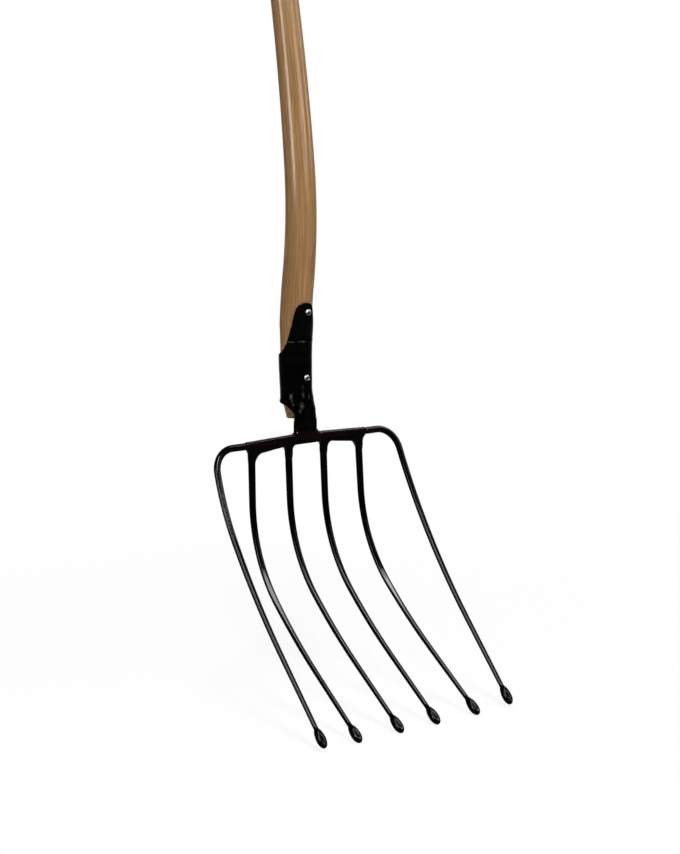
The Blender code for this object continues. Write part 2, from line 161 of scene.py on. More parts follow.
def walk(start, stretches, heading, turn_step, length_step):
    """A centre-line of (distance, point, direction) through stretches of (length, first, last).

    The first and last angles of a stretch are turned into a direction by heading."""
    point, distance = Vector(start), 0.0
    line = [(distance, point, heading(*stretches[0][1]))]
    for length, first, last in stretches:
        turn = max(abs(end - begin) for begin, end in zip(first, last))
        steps = max(1, math.ceil(turn / turn_step), math.ceil(length / length_step))
        for step in range(1, steps + 1):
            middle, whole = (
                heading(*(begin + (end - begin) * share for begin, end in zip(first, last)))
                for share in ((step - 0.5) / steps, step / steps)
            )
            point = point + middle * (length / steps)
            distance += length / steps
            line.append((distance, point, whole))
    return line


def bend(piece, line, front):
    """Bends a straight bar along a centre-line, with its +Y side turned to front at the far end.

    Each vertex keeps its place in the straight bar in the attribute blank."""
    blank = piece.data.attributes.new("blank", "FLOAT_VECTOR", "POINT")
    distances = [knot[0] for knot in line]
    along = line[-1][2]
    side = (Vector(front) - along * Vector(front).dot(along)).normalized()
    turns = [Matrix((side.cross(along), side, along)).transposed().to_quaternion()]
    for near, far in zip(line[-2::-1], line[:0:-1]):
        turns.insert(0, far[2].rotation_difference(near[2]) @ turns[0])
    for vertex in piece.data.vertices:
        blank.data[vertex.index].vector = vertex.co
        index = min(max(bisect.bisect(distances, vertex.co.z), 1), len(line) - 1)
        share = share_of(vertex.co.z, distances[index - 1], distances[index])
        middle = line[index - 1][1].lerp(line[index][1], share)
        turn = turns[index - 1].slerp(turns[index], share)
        vertex.co = middle + turn @ Vector((vertex.co.x, vertex.co.y, 0))


def smooth(piece, degrees):
    """Smooth shading that breaks at edges sharper than an angle."""
    only(piece)
    bpy.ops.object.shade_smooth_by_angle(angle=math.radians(degrees))


def add(tree, kind, inputs=None, **settings):
    """A shader node with its settings; an input is a value or the socket that feeds it."""
    made = tree.nodes.new("ShaderNode" + kind)
    for key, value in settings.items():
        setattr(made, key, value)
    for key, value in (inputs or {}).items():
        if isinstance(value, bpy.types.NodeSocket):
            tree.links.new(value, made.inputs[key])
        else:
            made.inputs[key].default_value = value
    return made


def ramp(tree, feed, *stops):
    """A colour ramp through (place, colour) stops; a colour is a grey or three values."""
    made = add(tree, "ValToRGB", {"Fac": feed})
    elements = made.color_ramp.elements
    while len(elements) < len(stops):
        elements.new(0.5)
    for element, (place, colour) in zip(elements, stops):
        element.position = place
        element.color = (*(colour if isinstance(colour, tuple) else (colour,) * 3), 1)
    return made.outputs["Color"]


def mix(tree, share, first, second):
    """Mixes two colours."""
    made = tree.nodes.new("ShaderNodeMix")
    made.data_type = "RGBA"
    for index, value in ((0, share), (6, first), (7, second)):
        if isinstance(value, bpy.types.NodeSocket):
            tree.links.new(value, made.inputs[index])
        else:
            made.inputs[index].default_value = value if index == 0 else (*value, 1)
    return made.outputs[2]


def new_material(name, **values):
    """A material with constant values on its shader; gives the material, tree and shader."""
    material = bpy.data.materials.new(name)
    material.use_nodes = True
    tree = material.node_tree
    shader = tree.nodes["Principled BSDF"]
    for key, value in values.items():
        shader.inputs[key.replace("_", " ")].default_value = value
    return material, tree, shader


def calculate(tree, operation, first, second):
    """The sum, product or the like of two values."""
    return add(tree, "Math", {0: first, 1: second}, operation=operation).outputs[0]


def speckle(tree, place, scale, detail, roughness):
    """Noise with no direction of its own."""
    feeds = {"Vector": place, "Scale": scale, "Detail": detail, "Roughness": roughness}
    return add(tree, "TexNoise", feeds).outputs["Fac"]


def grain(tree, place, stretch, scale, detail, roughness, offset=(0, 0, 0)):
    """Noise drawn out along the grain by a stretch."""
    mapped = add(tree, "Mapping", {"Vector": place, "Scale": (1, 1, 1 / stretch), "Location": offset})
    return speckle(tree, mapped.outputs[0], scale, detail, roughness)


# The tree's rings are tilted to the shaft a little, and their middle lies outside it.
RING_TILT = (math.radians(1.1), math.radians(-0.7), 0)
RING_SHIFT = (0.004, -0.050, 0)


def ash_wood():
    """Varnished ash: soft growth bands, long streaks and fine pores along the grain."""
    varnish = {"Coat_Weight": 0.22, "Coat_Roughness": 0.17, "Coat_IOR": 1.5}
    material, tree, shader = new_material(
        "varnished_ash", Roughness=0.42, Specular_IOR_Level=0.02, **varnish
    )
    place = add(tree, "Attribute", attribute_name="blank").outputs["Vector"]
    sway = grain(tree, place, 14, 18, 2, 0.5)
    swayed = add(tree, "VectorMath", {0: place}, operation="ADD")
    shift = add(tree, "VectorMath", {0: sway, 1: (0.012, 0.012, 0)}, operation="MULTIPLY")
    tree.links.new(shift.outputs[0], swayed.inputs[1])
    log = {"Vector": swayed.outputs[0], "Location": RING_SHIFT, "Rotation": RING_TILT}
    around = add(tree, "Mapping", log).outputs[0]
    rings = add(
        tree,
        "TexWave",
        {"Vector": around, "Scale": 175, "Distortion": 0.6, "Detail": 2, "Detail Scale": 1.2},
        wave_type="RINGS",
        rings_direction="Z",
        wave_profile="SAW",
    ).outputs["Fac"]
    streaks = grain(tree, place, 60, 520, 4, 0.6)
    drifts = grain(tree, place, 26, 120, 3, 0.5, (0.3, 0.1, 0))
    fibres = grain(tree, place, 70, 1700, 3, 0.65, (0, 0.4, 0.2))
    patches = grain(tree, place, 5, 16, 2, 0.5, (0.7, 0, 0.5))
    early, middle, late = (0.300, 0.172, 0.070), (0.270, 0.152, 0.058), (0.196, 0.103, 0.036)
    bands = ramp(tree, rings, (0.0, early), (0.60, middle), (0.97, late))
    tone = mix(tree, ramp(tree, drifts, (0.36, 0.0), (0.66, 0.8)), bands, (0.318, 0.184, 0.080))
    tone = mix(tree, ramp(tree, streaks, (0.40, 0.70), (0.58, 0.0)), tone, (0.172, 0.089, 0.034))
    tone = mix(tree, ramp(tree, fibres, (0.32, 0.60), (0.52, 0.0)), tone, (0.120, 0.061, 0.024))
    tone = mix(tree, ramp(tree, patches, (0.38, 0.0), (0.68, 0.32)), tone, (0.240, 0.122, 0.060))
    along = add(tree, "SeparateXYZ", {"Vector": place}).outputs["Z"]
    near_foot = {"Value": along, "From Min": 0.0, "From Max": 0.003, "To Min": 0.45, "To Max": 0.0}
    end_grain = add(tree, "MapRange", near_foot).outputs[0]
    tone = mix(tree, end_grain, tone, (0.096, 0.052, 0.022))
    tree.links.new(tone, shader.inputs["Base Color"])
    rough = add(tree, "MapRange", {"Value": streaks, "To Min": 0.34, "To Max": 0.52}).outputs[0]
    tree.links.new(rough, shader.inputs["Roughness"])
    relief = calculate(tree, "ADD", fibres, streaks)
    bump = add(tree, "Bump", {"Height": relief, "Strength": 0.16, "Distance": 0.00035}).outputs[0]
    tree.links.new(bump, shader.inputs["Normal"])
    soft = add(tree, "Bump", {"Height": drifts, "Strength": 0.10, "Distance": 0.0006}).outputs[0]
    tree.links.new(soft, shader.inputs["Coat Normal"])
    return material


def leaning(lean):
    """The shaft's direction at a lean backwards from upright."""
    return Vector((0, math.sin(lean), math.cos(lean)))


handle_bends = [
    (SEAT_STRAIGHT, (SEAT_LEAN,), (SEAT_LEAN,)),
    (KICK_RADIUS * (SEAT_LEAN - KICK_LEAN), (SEAT_LEAN,), (KICK_LEAN,)),
    (BOW_RADIUS * (BOW_LEAN - KICK_LEAN), (KICK_LEAN,), (BOW_LEAN,)),
    (EASE_RADIUS * (GRIP_LEAN - BOW_LEAN), (BOW_LEAN,), (GRIP_LEAN,)),
]
handle_bends.append((HANDLE_LENGTH - sum(stretch[0] for stretch in handle_bends), (GRIP_LEAN,), (GRIP_LEAN,)))
handle_line = walk(
    HANDLE_FOOT, handle_bends, leaning, turn_step=math.radians(0.5), length_step=0.05
)


def handle_radius(distance):
    """The wood's radius at a distance from its foot."""
    return interpolate(distance, HANDLE_DIAMETERS) / 2


handle_places = {place for place, _ in HANDLE_DIAMETERS} | {knot[0] for knot in handle_line[:-1]}
handle_stations = [(place, handle_radius(place)) for place in sorted(handle_places)]
for step in range(1, CAP_STEPS + 1):
    angle = math.radians(90 / CAP_STEPS * step)
    handle_stations.append(
        (
            HANDLE_LENGTH - HANDLE_CAP_ROUND * (1 - math.sin(angle)),
            handle_radius(HANDLE_LENGTH) - HANDLE_CAP_ROUND * (1 - math.cos(angle)),
        )
    )
handle = straight_bar("ash_handle", handle_stations, HANDLE_SIDES)
bend(handle, handle_line, (0, 1, 0))
handle.data.materials.append(ash_wood())
smooth(handle, 40)
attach(handle, "root")
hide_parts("handle")


# Forged head
# The crossbar and the open socket are two steel forgings: a bar with four stubs and a seat, and a
# blank that runs up from it as a neck, rolled round the wood as two wings and drawn to a tongue.
# They are welded, dressed and lacquered black, so they are shaped as one and parted afterwards.

FIT_GAP = 0.0003
INNER_X, SIDE_X = 0.0246, 0.0759
BAR_END_X = 0.0863
BAR_DEPTH, BAR_END_DEPTH, BAR_THICKNESS, BAR_ROUND = 0.0120, 0.0100, 0.0090, 0.0030
STUB_RADIUS, STUB_LENGTH, STUB_SPARE = 0.0040, 0.0160, 0.0050
ARM_HEIGHT = 0.0053
NECK_HALF, NECK_THICKNESS, NECK_FRONT, NECK_FOOT, NECK_TOP = 0.0147, 0.0075, 0.0030, 0.0200, 0.0250
BLOCK_HALF, BLOCK_TOP = 0.0138, 0.0195
TOP_SLOPE_START = 0.0180
UNDER_INNER, UNDER_SIDE, UNDER_END = -0.00023, -0.00499, -0.0080
# The bar's underside as place and height, and its inside corners as place, height and radius.
UNDERSIDE = (
    (0, 0.0),
    (INNER_X - STUB_RADIUS, 0.0),
    (INNER_X + STUB_RADIUS, UNDER_INNER),
    (SIDE_X - STUB_RADIUS, UNDER_SIDE),
    (SIDE_X + STUB_RADIUS, UNDER_END),
)
BAR_FILLETS = (
    (INNER_X - STUB_RADIUS, 0.0, 0.0050),
    (INNER_X + STUB_RADIUS, UNDER_INNER, 0.0070),
    (SIDE_X - STUB_RADIUS, UNDER_SIDE, 0.0090),
    (SIDE_X + STUB_RADIUS, ARM_HEIGHT - STUB_RADIUS, 0.0064),
    (BLOCK_HALF, BAR_DEPTH, 0.0064),
)
CURL_TOP, BLEND_FOOT, BLEND_TOP = 0.0500, 0.0430, 0.0600
SOCKET_WALL = 0.0020
# The wood's foot is a cone up to this distance, and the socket doesn't follow it down.
CONE_END = 0.0210
# The steps over which the slopes of the wood and of the sheet's rim are measured.
LEVEL_STEP, SLOPE_STEP = 0.004, 0.0002
WING_FOOT, WING_TOP, WING_WRAP = 0.0450, 0.0980, math.radians(155)
WING_CORNER, WING_SLOPE, FLARE_RISE, WRAP_EASE = 0.0050, 0.0110, 0.0144, 0.0010
TONGUE_SHOULDER, TONGUE_TOP = 0.1420, 0.1557
TONGUE_HALF, TONGUE_TAPER, TONGUE_DRIFT, DRIFT_FOOT = 0.0138, 0.0034, 0.0024, 0.1000
TONGUE_POWER, TONGUE_ROUND = 4, 0.45
NECK_DRIFT = 0.0006
RIM_ROUND, RIM_SPARE = 0.0021, 0.00005
CREASE_HEIGHT, CREASE_RISE, CREASE_WIDTH = 0.1127, 0.00030, 0.0012
# The sheet's columns and rows, the share of rows drawn close at the top, and its flat thickness.
SHEET_COLUMNS, SHEET_ROWS, CLOSE_ROWS, PLATE = 96, 300, 0.03, 0.1
BEAD_PLACE, BEAD_SIZE = (0.0825, -0.0008, 0.0083), (0.0046, 0.0038, 0.0019)
# Where the surface's unevenness fades out, and where the stubs and arms become round.
STUB_FADE, ARM_FADE = (0.006, 0.014), (0.080, 0.085)
STUB_ROUNDING, ARM_ROUNDING = (0.008, 0.0155), (0.0815, 0.0860)
# The unevenness of the forged surface: how close its waves lie and how deep they are.
BLOWS, BLOW_MIDDLE = ((130, 0.00012), (420, 0.00004)), 0.00006
VOXEL = 0.00045


def modify(piece, kind, **settings):
    """Adds a modifier to a piece and applies it."""
    modifier = piece.modifiers.new(kind.lower(), kind)
    for key, value in settings.items():
        setattr(modifier, key, value)
    only(piece)
    bpy.ops.object.modifier_apply(modifier=modifier.name)


def pick(piece, domain, test):
    """Enters edit mode on a piece with only the faces or edges that pass a test selected."""
    only(piece)
    bpy.ops.object.mode_set(mode="EDIT")
    bpy.ops.mesh.select_mode(type=domain)
    bpy.ops.mesh.select_all(action="DESELECT")
    shell = bmesh.from_edit_mesh(piece.data)
    for element in shell.faces if domain == "FACE" else shell.edges:
        if test(element):
            element.select_set(True)
    shell.select_flush_mode()
    bmesh.update_edit_mesh(piece.data)


def make_bar():
    """The bar as a squared billet: stubs, arms and seat drawn out of it, corners filleted."""
    outer = SIDE_X + STUB_RADIUS
    billet = {"location": (0, 0, BAR_DEPTH / 2), "scale": (2 * outer, BAR_THICKNESS, BAR_DEPTH)}
    bar = new_mesh(bpy.ops.mesh.primitive_cube_add, size=1, **billet)
    cuts = (BLOCK_HALF, INNER_X - STUB_RADIUS, INNER_X + STUB_RADIUS, SIDE_X - STUB_RADIUS)
    pick(bar, "FACE", lambda face: True)
    for place in [*cuts, *(-cut for cut in cuts)]:
        bpy.ops.mesh.select_all(action="SELECT")
        bpy.ops.mesh.bisect(plane_co=(place, 0, 0), plane_no=(1, 0, 0))
    leave()
    top_line = ((0, BAR_DEPTH), (TOP_SLOPE_START, BAR_DEPTH), (outer, BAR_END_DEPTH))
    for vertex in bar.data.vertices:
        line = top_line if vertex.co.z > BAR_DEPTH / 2 else UNDERSIDE
        vertex.co.z = interpolate(abs(vertex.co.x), line)

    def under_stub(face):
        middle = abs(face.calc_center_median().x)
        near = min(abs(middle - INNER_X), abs(middle - SIDE_X))
        return face.normal.z < -0.5 and near < 0.0005

    pick(bar, "FACE", under_stub)
    stub_end = -STUB_LENGTH - STUB_SPARE
    bpy.ops.mesh.extrude_region_move(TRANSFORM_OT_translate={"value": (0, 0, stub_end)})
    bpy.ops.transform.resize(value=(1, 1, 0), center_override=(0, 0, stub_end))
    leave()
    pick(bar, "FACE", lambda face: abs(face.calc_center_median().x) > cuts[-1] + 0.001)
    bpy.ops.mesh.bisect(plane_co=(0, 0, ARM_HEIGHT - STUB_RADIUS), plane_no=(0, 0, 1))
    leave()
    for side in (-1, 1):
        pick(bar, "FACE", lambda face: face.normal.x * side > 0.9 and face.calc_center_median().z > 0.002)
        bpy.ops.mesh.extrude_region_move(
            TRANSFORM_OT_translate={"value": (side * (BAR_END_X - outer + STUB_SPARE), 0, 0)}
        )
        leave()
    for vertex in bar.data.vertices:
        if abs(vertex.co.x) > BAR_END_X and vertex.co.z > ARM_HEIGHT:
            vertex.co.z = ARM_HEIGHT + STUB_RADIUS
    pick(
        bar,
        "FACE",
        lambda face: face.normal.z > 0.9 and abs(face.calc_center_median().x) < BLOCK_HALF - 0.001,
    )
    bpy.ops.mesh.extrude_region_move(TRANSFORM_OT_translate={"value": (0, 0, BLOCK_TOP - BAR_DEPTH)})
    leave()
    for vertex in bar.data.vertices:
        if vertex.co.z > BLOCK_TOP - 0.001 and vertex.co.y < 0:
            vertex.co.y = 0.0002 - NECK_FRONT

    def fillet_at(x, z):
        def at_corner(edge):
            first, last = (vertex.co for vertex in edge.verts)
            upright = abs(first.x - last.x) < 0.0001 and abs(first.z - last.z) < 0.0001
            return upright and abs(abs(first.x) - x) < 0.0001 and abs(first.z - z) < 0.0001

        return at_corner

    for x, z, radius in BAR_FILLETS:
        pick(bar, "EDGE", fillet_at(x, z))
        bpy.ops.mesh.bevel(offset=radius, segments=8, affect="EDGES", clamp_overlap=False)
        leave()
    pick(bar, "FACE", lambda face: True)
    bpy.ops.mesh.dissolve_limited(angle_limit=math.radians(0.5))
    leave()
    modify(
        bar,
        "BEVEL",
        width=BAR_ROUND,
        segments=4,
        limit_method="ANGLE",
        angle_limit=math.radians(50),
        use_clamp_overlap=False,
    )
    return bar


def wood_back(height):
    """How far back the wood's centre-line lies at a height."""
    return interpolate(height, [(point.z, point.y) for _, point, _ in handle_line])


def socket_radius(height):
    """The outside radius of the socket round the wood, at a level cut through both."""
    slope = (wood_back(height + LEVEL_STEP) - wood_back(height - LEVEL_STEP)) / (2 * LEVEL_STEP)
    wood = handle_radius(max(height - HANDLE_FOOT.z, CONE_END))
    return (wood + FIT_GAP + SOCKET_WALL) * math.hypot(1, slope)


neck_angle = NECK_HALF / socket_radius(NECK_TOP)
# How far the sheet reaches round the wood to each side, as height and angle.
WRAP = (
    (NECK_TOP, neck_angle),
    (WING_FOOT - WING_SLOPE, neck_angle * 1.10),
    (WING_FOOT - WING_SLOPE * 0.64, neck_angle * 1.42),
    (WING_FOOT - WING_SLOPE * 0.28, neck_angle * 1.71),
    (WING_FOOT - WING_SLOPE * 0.14, WING_WRAP * 0.67),
    (WING_FOOT, WING_WRAP * 0.9),
    (WING_FOOT + WING_CORNER * 0.4, WING_WRAP),
    (WING_TOP - WING_CORNER, WING_WRAP),
    (WING_TOP - WING_CORNER * 0.4, WING_WRAP * 0.89),
    (WING_TOP, WING_WRAP * 0.76),
    (WING_TOP + FLARE_RISE * 0.22, WING_WRAP * 0.61),
    (WING_TOP + FLARE_RISE * 0.44, WING_WRAP * 0.54),
    (WING_TOP + FLARE_RISE, math.radians(68)),
    (0.1210, math.radians(57.5)),
    (0.1300, math.radians(47.5)),
    (TONGUE_SHOULDER, TONGUE_HALF / socket_radius(TONGUE_SHOULDER)),
)


def half_width(height):
    """Half the sheet's width along its outside; the wings and flare are eased between knots."""
    if height > TONGUE_SHOULDER:
        climb = min(0.999, share_of(height, TONGUE_SHOULDER, TONGUE_TOP))
        return (TONGUE_HALF - TONGUE_TAPER * climb) * (1 - climb**TONGUE_POWER) ** TONGUE_ROUND
    if height < NECK_TOP:
        return NECK_HALF
    reach = min(WRAP_EASE, TONGUE_SHOULDER - height)
    wraps = [interpolate(height + reach * step / 2, WRAP) for step in range(-2, 3)]
    return socket_radius(height) * sum(wraps) / len(wraps)


@functools.cache
def section(height):
    """The sheet at a height: front, curvature, thickness, half width, drift and lean of its rim."""
    radius, axis = socket_radius(height), wood_back(height)
    curl = 1 - (1 - share_of(height, NECK_TOP, CURL_TOP)) ** 2
    front = -NECK_FRONT + (axis - radius + NECK_FRONT) * ease(share_of(height, BLEND_FOOT, BLEND_TOP))
    curvature = curl * 2 / (axis + radius - front)
    thickness = NECK_THICKNESS + (SOCKET_WALL - NECK_THICKNESS) * curl
    drift = TONGUE_DRIFT * ease(share_of(height, DRIFT_FOOT, TONGUE_SHOULDER))
    drift += NECK_DRIFT * (1 - ease(share_of(height, NECK_TOP, WING_FOOT)))
    slope = (half_width(height + SLOPE_STEP) - half_width(height - SLOPE_STEP)) / (2 * SLOPE_STEP)
    return front, curvature, thickness, half_width(height), drift, math.hypot(1, slope)


def rolled(share, behind, height):
    """A point of the rolled sheet, outside or behind: share is its place across from -1 to 1."""
    front, curvature, thickness, half, drift, lean = section(height)
    rim = min(thickness / 2 - RIM_SPARE, RIM_ROUND)
    margin = min(rim, (1 - abs(share)) * half / lean, TONGUE_TOP - height)
    depth = rim - math.sqrt(rim * rim - (rim - margin) ** 2)
    if behind:
        depth = thickness - depth
    else:
        depth -= CREASE_RISE * math.exp(-(((height - CREASE_HEIGHT) / CREASE_WIDTH) ** 2))
    place = share * half - drift
    if curvature * half < 0.01:
        return Vector((place, front + depth, height))
    angle, bend_radius = place * curvature, 1 / curvature
    x = (bend_radius - depth) * math.sin(angle)
    return Vector((x, front + bend_radius - (bend_radius - depth) * math.cos(angle), height))


def outside_at(along, height):
    """A point on the sheet's outside, at a distance round from its middle."""
    _, _, _, half, drift, _ = section(height)
    return rolled(max(-0.95, min(0.95, (along + drift) / half)), False, height)


def make_sheet():
    """The socket's blank: a plate laid flat, its columns and rows close at the rims, then rolled."""
    lines = {"x_subdivisions": SHEET_COLUMNS, "y_subdivisions": SHEET_ROWS}
    sheet = new_mesh(bpy.ops.mesh.primitive_grid_add, size=2, **lines)
    modify(sheet, "SOLIDIFY", thickness=PLATE, offset=-1)
    for vertex in sheet.data.vertices:
        share = math.sin(math.pi / 2 * round(vertex.co.x, 5))
        rise = round((vertex.co.y + 1) / 2, 5)
        if rise > 1 - CLOSE_ROWS:
            rise = 1 - CLOSE_ROWS * (1 - math.sin(math.pi / 2 * (rise - 1 + CLOSE_ROWS) / CLOSE_ROWS))
        height = BAR_DEPTH + (TONGUE_TOP - BAR_DEPTH) * rise
        vertex.co = rolled(share, vertex.co.z < -PLATE / 2, height)
    face_outward(sheet)
    return sheet


def make_bead(side):
    """A weld bead over the joint between the bar's end and the outer tine's arm."""
    x, y, z = BEAD_PLACE
    ball = {"segments": 24, "ring_count": 12, "radius": 1}
    add_ball = bpy.ops.mesh.primitive_uv_sphere_add
    return new_mesh(add_ball, location=(side * x, y, z), scale=BEAD_SIZE, **ball)


head = make_bar()
only(make_sheet(), make_bead(-1), make_bead(1), head)
bpy.ops.object.join()
modify(head, "REMESH", mode="VOXEL", voxel_size=VOXEL, use_smooth_shade=True)
modify(head, "SMOOTH", factor=0.5, iterations=6)

# The smith's marks on the neck: along the outside from its middle, height and size.
HAMMER_MARKS = (
    (-0.0195, 0.0560, 0.0045),
    (-0.0180, 0.0455, 0.0035),
    (-0.0080, 0.0405, 0.0050),
    (-0.0045, 0.0585, 0.0040),
    (0.0095, 0.0500, 0.0050),
    (0.0015, 0.0690, 0.0050),
)
MARK_DEPTH = 0.00026
# Painted highlights for glints on the neck: along and height as before, half width, half height and strength.
NECK_GLINTS = (
    (-0.0186, 0.0525, 0.0026, 0.0048, 1.0),
    (-0.0180, 0.0475, 0.0014, 0.0018, 0.9),
    (-0.0172, 0.0435, 0.0014, 0.0022, 0.9),
    (-0.0074, 0.0420, 0.0032, 0.0050, 1.0),
    (-0.0096, 0.0368, 0.0020, 0.0030, 0.9),
    (-0.0045, 0.0545, 0.0017, 0.0060, 0.6),
    (-0.0045, 0.0630, 0.0014, 0.0036, 0.3),
    (-0.0175, CREASE_HEIGHT, 0.0055, 0.0014, 0.55),
    (-0.0050, CREASE_HEIGHT, 0.0062, 0.0015, 0.9),
)
# And a painted highlight on the outer tine's shoulder: middle, half lengths and strength.
SHOULDER_GLINT = ((-0.131, -0.0245, -0.053), (0.012, 0.035, 0.050), 0.65)
marks = [(outside_at(along, height), size) for along, height, size in HAMMER_MARKS]


def rounded(place, middle, radius, share):
    """Draws a point of a stub's section to a circle by a share."""
    offset = place - middle
    return middle + offset.normalized() * (offset.length + (radius - offset.length) * share)


def dress(piece):
    """Works the surface with soft blows and marks, and rounds the stubs and arms at their ends."""
    normals = [vertex.normal.copy() for vertex in piece.data.vertices]
    for vertex, outward in zip(piece.data.vertices, normals):
        spot = vertex.co
        blow = sum(noise.noise(spot * scale) * depth for scale, depth in BLOWS)
        free = 1 - ease(share_of(-spot.z, *STUB_FADE))
        free *= 1 - ease(share_of(abs(spot.x), *ARM_FADE)) if spot.z < NECK_FOOT else 1
        vertex.co = spot + outward * (blow - BLOW_MIDDLE) * free
        for middle, size in marks:
            near = (spot - middle).length / size
            if near < 1:
                vertex.co -= outward * MARK_DEPTH * (1 - near * near) ** 2
        spot = vertex.co
        stub = min((-SIDE_X, -INNER_X, INNER_X, SIDE_X), key=lambda x: abs(spot.x - x))
        if -spot.z > STUB_FADE[0] and abs(spot.x - stub) < STUB_RADIUS * 2:
            middle = Vector((stub, 0, spot.z))
            vertex.co = rounded(spot, middle, STUB_RADIUS, ease(share_of(-spot.z, *STUB_ROUNDING)))
        elif abs(spot.x) > ARM_FADE[0] and spot.z < NECK_FOOT:
            middle = Vector((spot.x, 0, ARM_HEIGHT))
            vertex.co = rounded(spot, middle, STUB_RADIUS, ease(share_of(abs(spot.x), *ARM_ROUNDING)))


dress(head)


def part_off(piece, *planes):
    """Saws a piece at planes of (point, normal) and closes it; what a normal points to goes."""
    for point, normal in planes:
        pick(piece, "FACE", lambda face: True)
        bpy.ops.mesh.bisect(plane_co=point, plane_no=normal, use_fill=True, clear_outer=True)
        leave()


def black_lacquer():
    """Black gloss lacquer over forged steel: orange peel, a brown band and painted highlights."""
    material, tree, shader = new_material("black_gloss_lacquer", Roughness=0.12)
    shader.inputs["Specular IOR Level"].default_value = 0.05
    place = add(tree, "TexCoord").outputs["Object"]
    broad = speckle(tree, place, 38, 3, 0.5)
    fine = speckle(tree, place, 900, 3, 0.6)
    peel = speckle(tree, place, 260, 2, 0.4)
    broken = speckle(tree, place, 520, 3, 0.6)
    warmer = ramp(tree, broad, (0.45, 0.0), (0.70, 0.7))
    tone = mix(tree, warmer, (0.0003, 0.0003, 0.0003), (0.0010, 0.0007, 0.0006))
    tone = mix(tree, ramp(tree, fine, (0.62, 0.0), (0.78, 0.5)), tone, (0.0028, 0.0026, 0.0022))
    # A brown band over the bar's upper part: thin lacquer there, and a painted warm reflection.
    height = add(tree, "SeparateXYZ", {"Vector": place}).outputs["Z"]
    rise = add(tree, "MapRange", {"Value": height, "From Min": 0.003, "From Max": 0.010}).outputs[0]
    fall = add(tree, "MapRange", {"Value": height, "From Min": 0.017, "From Max": 0.012}).outputs[0]
    edge = calculate(tree, "MULTIPLY", rise, fall)
    thin_and_reflected_brown = calculate(tree, "MULTIPLY", edge, ramp(tree, broad, (0.40, 0.35), (0.60, 1.0)))
    tone = mix(tree, thin_and_reflected_brown, tone, (0.0076, 0.0020, 0.0015))
    # Painted highlights: pale grey patches on the neck, along the crease and on the outer tine's shoulder.
    glint_spots = []
    for along, level, wide, tall, strength in NECK_GLINTS:
        glint_spots.append((outside_at(along, level), (wide, wide, tall), strength))
    glint_mask = None
    for middle, size, strength in [*glint_spots, SHOULDER_GLINT]:
        spot = {"Vector": place, "Location": middle, "Scale": size}
        offset = add(tree, "Mapping", spot, vector_type="TEXTURE").outputs[0]
        away = add(tree, "VectorMath", {0: offset}, operation="LENGTH").outputs["Value"]
        fading = {"Value": away, "From Min": 1.0, "From Max": 0.15, "To Max": strength}
        near = add(tree, "MapRange", fading).outputs[0]
        glint_mask = near if glint_mask is None else calculate(tree, "MAXIMUM", glint_mask, near)
    painted_glint = calculate(tree, "MULTIPLY", glint_mask, ramp(tree, broken, (0.40, 0.1), (0.58, 1.0)))
    # The painted highlights' light grey.
    tone = mix(tree, painted_glint, tone, (0.086, 0.081, 0.070))
    tree.links.new(tone, shader.inputs["Base Color"])
    gloss = {"Value": broad, "From Min": 0.3, "From Max": 0.7, "To Min": 0.09, "To Max": 0.15}
    rough = add(tree, "MapRange", gloss).outputs[0]
    tree.links.new(rough, shader.inputs["Roughness"])
    relief = add(tree, "Bump", {"Height": peel, "Strength": 0.15, "Distance": 0.0003}).outputs[0]
    tree.links.new(relief, shader.inputs["Normal"])
    return material


lacquer = black_lacquer()
socket = head.copy()
socket.data = head.data.copy()
bpy.context.scene.collection.objects.link(socket)
head.name = "forged_crossbar"
socket.name = "rolled_socket"
part_off(
    head,
    ((0, 0, NECK_FOOT), (0, 0, 1)),
    ((0, 0, -STUB_LENGTH), (0, 0, -1)),
    ((BAR_END_X, 0, 0), (1, 0, 0)),
    ((-BAR_END_X, 0, 0), (-1, 0, 0)),
)
part_off(socket, ((0, 0, NECK_FOOT), (0, 0, -1)))
for piece, node in ((head, "crossbar"), (socket, "socket")):
    piece.data.materials.clear()
    piece.data.materials.append(lacquer)
    smooth(piece, 60)
    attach(piece, "root")
    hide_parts(node)


# Tines
# Six round steel tines, drawn out to a taper with an olive point upset at the end so that the beets
# aren't pierced, and a shallow dish pressed in its upper face. The four inner ones are welded under
# the bar and the two outer ones to its ends, where they turn down over a shoulder.

ROOT_RADIUS, ROD_RADIUS = 0.0040, 0.0026
TAPER_POWER = 1.15
OLIVE_RADIUS, OLIVE_TAIL, OLIVE_NOSE, NOSE_END = 0.0053, 0.0142, 0.0100, math.radians(176)
DISH_DEPTH, DISH_LENGTH, DISH_WIDTH, DISH_RIM = 0.0014, 0.0085, 0.0041, 0.38
TIP_ANGLE, TIP_SHARE, OLIVE_STEPS = math.radians(165), 0.86, 60
# The tines start right at the stubs and arms, so they are a little longer than their solids.
WELD_FILL = 0.0002
INNER_LENGTH, OUTER_LENGTH = 0.344 + WELD_FILL, 0.3755 + WELD_FILL
INNER_SHANK, INNER_BEND, INNER_SWEEP = 0.0413, 0.161, 0.632
OUTER_ARM, SHOULDER, OUTER_BEND, OUTER_SWEEP = 0.0160, 0.0266, 0.414, 0.804
TINE_SIDES, ROD_STEP = 64, 0.004
FLAT_TURN, FLAT_MIDDLE, FLAT_REACH, FLAT_DEPTH, FLAT_SPREAD = math.radians(33), 0.142, 0.032, 0.16, 0.10
tail_start = math.asin(ROD_RADIUS / OLIVE_RADIUS)
OLIVE_MIDDLE = OLIVE_TAIL * math.cos(tail_start)
OLIVE_LENGTH = OLIVE_MIDDLE - OLIVE_NOSE * math.cos(TIP_ANGLE)


